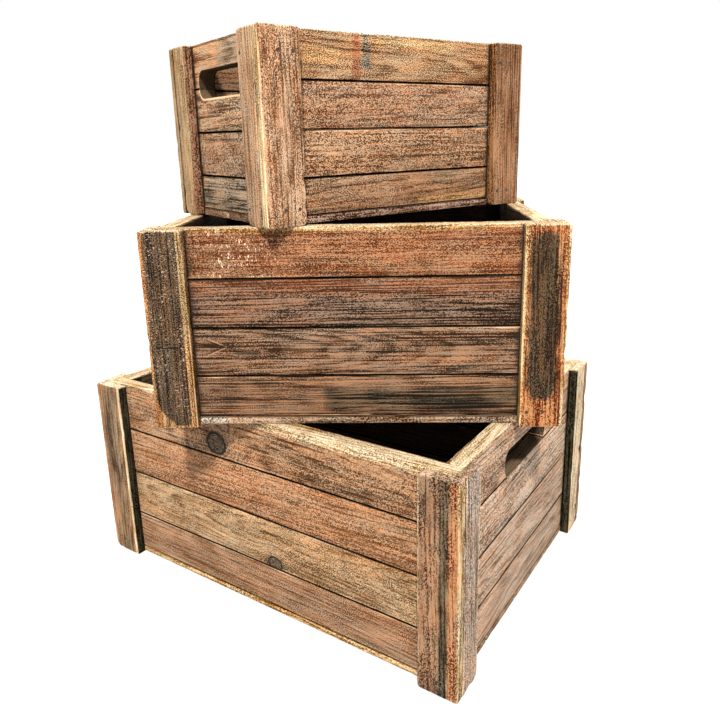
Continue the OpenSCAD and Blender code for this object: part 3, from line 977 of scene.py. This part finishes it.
def build_crate(name, seed):
    crate = Crate(name)
    nails = solids(crate, name + "_nails")
    long_clear, end_clear = clear_lengths(crate)
    for wall, outward in LONG.items():
        for number in range(1, 5):
            node = f"{name}_{wall}_slat_{number}"
            seed += 1
            board = Board(crate, solids(crate, node)[0], LEVEL, outward)
            piece = make_board(node + ".board", board, material_for(node, crate, "slats"), seed,
                               slat=number, clear=long_clear)
            finish_piece(piece, crate, node)
    for wall, outward in END.items():
        hole_length, hole_top = hand_hole(crate, wall)
        for node_end, first in (("slat_1", 1), ("slat_2", 2), ("lower_slats", 3)):
            node = f"{name}_{wall}_end_{node_end}"
            boards = [Board(crate, points, LEVEL, outward) for points in solids(crate, node)]
            boards.sort(key=lambda board: -board.middle.z)
            for number, board in enumerate(boards, first):
                seed += 1
                key = f"{name}_{wall}_end_slat_{number}"
                slot = slot_in(board, hole_length, hole_top, number)
                piece = make_board(key + ".board", board, material_for(key, crate, "slats"), seed, hole=slot,
                                   slat=number, clear=end_clear)
                finish_piece(piece, crate, node)
    for wall, long_out in LONG.items():
        for end, end_out in END.items():
            node = f"{name}_{wall}_{end}_post"
            for points in solids(crate, node):
                seed += 1
                trial = Board(crate, points, UP, long_out)
                kind = "side" if trial.half.z < trial.half.y else "end"
                board = trial if kind == "side" else Board(crate, points, UP, end_out)
                spots = nail_spots(board, nails)
                key = f"{node}.{kind}"
                radii = CORNERS.get(key, BATTEN_CORNERS)
                piece = make_board(key + "_batten", board, material_for(key, crate, "battens"), seed,
                                   corners=radii, nails=spots, chips=1.0)
                finish_piece(piece, crate, node)
    node = name + "_base_boards"
    parts = []
    boards = [Board(crate, points, Vector((1, 0, 0)), Vector((0, 0, -1))) for points in solids(crate, node)]
    for number, board in enumerate(sorted(boards, key=lambda item: item.middle.y), 1):
        seed += 1
        key = f"{node}.{number}"
        parts.append(make_board(key, board, material_for(key, crate, "base"), seed))
    with bpy.context.temp_override(active_object=parts[0], object=parts[0], selected_objects=parts,
                                   selected_editable_objects=parts):
        bpy.ops.object.join()
    parts[0].name = node + ".boards"
    finish_piece(parts[0], crate, node)
    return seed


def nail_spots(board, nails):
    """Where nail heads sit in this board's outer face."""
    spots = []
    for points in nails:
        own = [board.own(point) for point in points]
        top = max(p.z for p in own)
        middle = sum(own, Vector()) / len(own)
        inside = abs(middle.x) < board.half.x and abs(middle.y) < board.half.y
        if inside and abs(top - board.half.z) < 1.0:
            spots.append((middle.x, middle.y))
    return spots


next_seed = 0
for crate_name in CRATES:
    next_seed = build_crate(crate_name, next_seed)

steel = nail_metal()
for crate_name in CRATES:
    nails_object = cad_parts[crate_name + "_nails"]
    for material_slot in nails_object.material_slots:
        material_slot.material = steel


# ---------------------------------------------------------------- stage, lights and camera

FLOOR_REACH = 12.0
FLOOR_GREY = 0.38


def make_floor():
    mesh = bpy.data.meshes.new("floor")
    corners = [(-1, -1), (1, -1), (1, 1), (-1, 1)]
    mesh.from_pydata([(x * FLOOR_REACH, y * FLOOR_REACH, 0) for x, y in corners], [], [(0, 1, 2, 3)])
    material = bpy.data.materials.new("floor")
    n = Nodes(material)
    n.put(n.shader.inputs["Base Color"], (FLOOR_GREY, FLOOR_GREY, FLOOR_GREY, 1))
    n.put(n.shader.inputs["Roughness"], 0.9)
    n.put(n.shader.inputs["Specular IOR Level"], 0.0)
    mesh.materials.append(material)
    floor = add_object("floor", mesh)


def distant_softbox(name, way, softness, power):
    """A large soft light far away in that direction, even over the whole floor."""
    data = bpy.data.lights.new(name, "SUN")
    data.angle = math.radians(softness)
    data.energy = power
    lamp = add_object(name, data)
    lamp.location = way * 3
    lamp.rotation_mode = "QUATERNION"
    lamp.rotation_quaternion = (-way).to_track_quat("-Z", "Y")


def make_world():
    world = bpy.data.worlds.new("studio")
    world.use_nodes = True
    background = world.node_tree.nodes["Background"]
    background.inputs["Color"].default_value = (1, 1, 1, 1)
    background.inputs["Strength"].default_value = 1.0
    bpy.context.scene.world = world


def make_camera():
    heading, tilt, roll = (math.radians(a) for a in (CAMERA_HEADING, CAMERA_TILT, CAMERA_ROLL))
    reach = math.cos(tilt)
    forward = Vector((math.cos(heading) * reach, math.sin(heading) * reach, -math.sin(tilt)))
    level = Vector((math.sin(heading), -math.cos(heading), 0))
    down = forward.cross(level)
    right = level * math.cos(roll) + down * math.sin(roll)
    low = down * math.cos(roll) - level * math.sin(roll)
    data = bpy.data.cameras.new("camera")
    data.sensor_width = 36.0
    data.lens = CAMERA_LENS
    data.shift_x, data.shift_y = CAMERA_SHIFT
    data.clip_start, data.clip_end = 0.01, 100.0
    camera = add_object("camera", data)
    turn = Matrix((right, -low, -forward)).transposed().to_4x4()
    camera.matrix_world = Matrix.Translation(CAMERA_PLACE) @ turn
    bpy.context.scene.camera = camera
    return forward, right


make_floor()
make_world()
view_forward, view_right = make_camera()
towards_camera = Vector((-view_forward.x, -view_forward.y, 0)).normalized()
to_the_left = Vector((-view_right.x, -view_right.y, 0)).normalized()
turn, height = math.radians(KEY_TURN), math.radians(KEY_HEIGHT)
level_way = towards_camera * math.cos(turn) + to_the_left * math.sin(turn)
key_way = level_way * math.cos(height) + Vector((0, 0, 1)) * math.sin(height)
distant_softbox("key", key_way, KEY_SOFTNESS, KEY_POWER)
fill_way = Vector((-key_way.x, -key_way.y, key_way.z))
distant_softbox("fill", fill_way, FILL_SOFTNESS, FILL_POWER)

scene = bpy.context.scene
scene.view_settings.view_transform = "Standard"
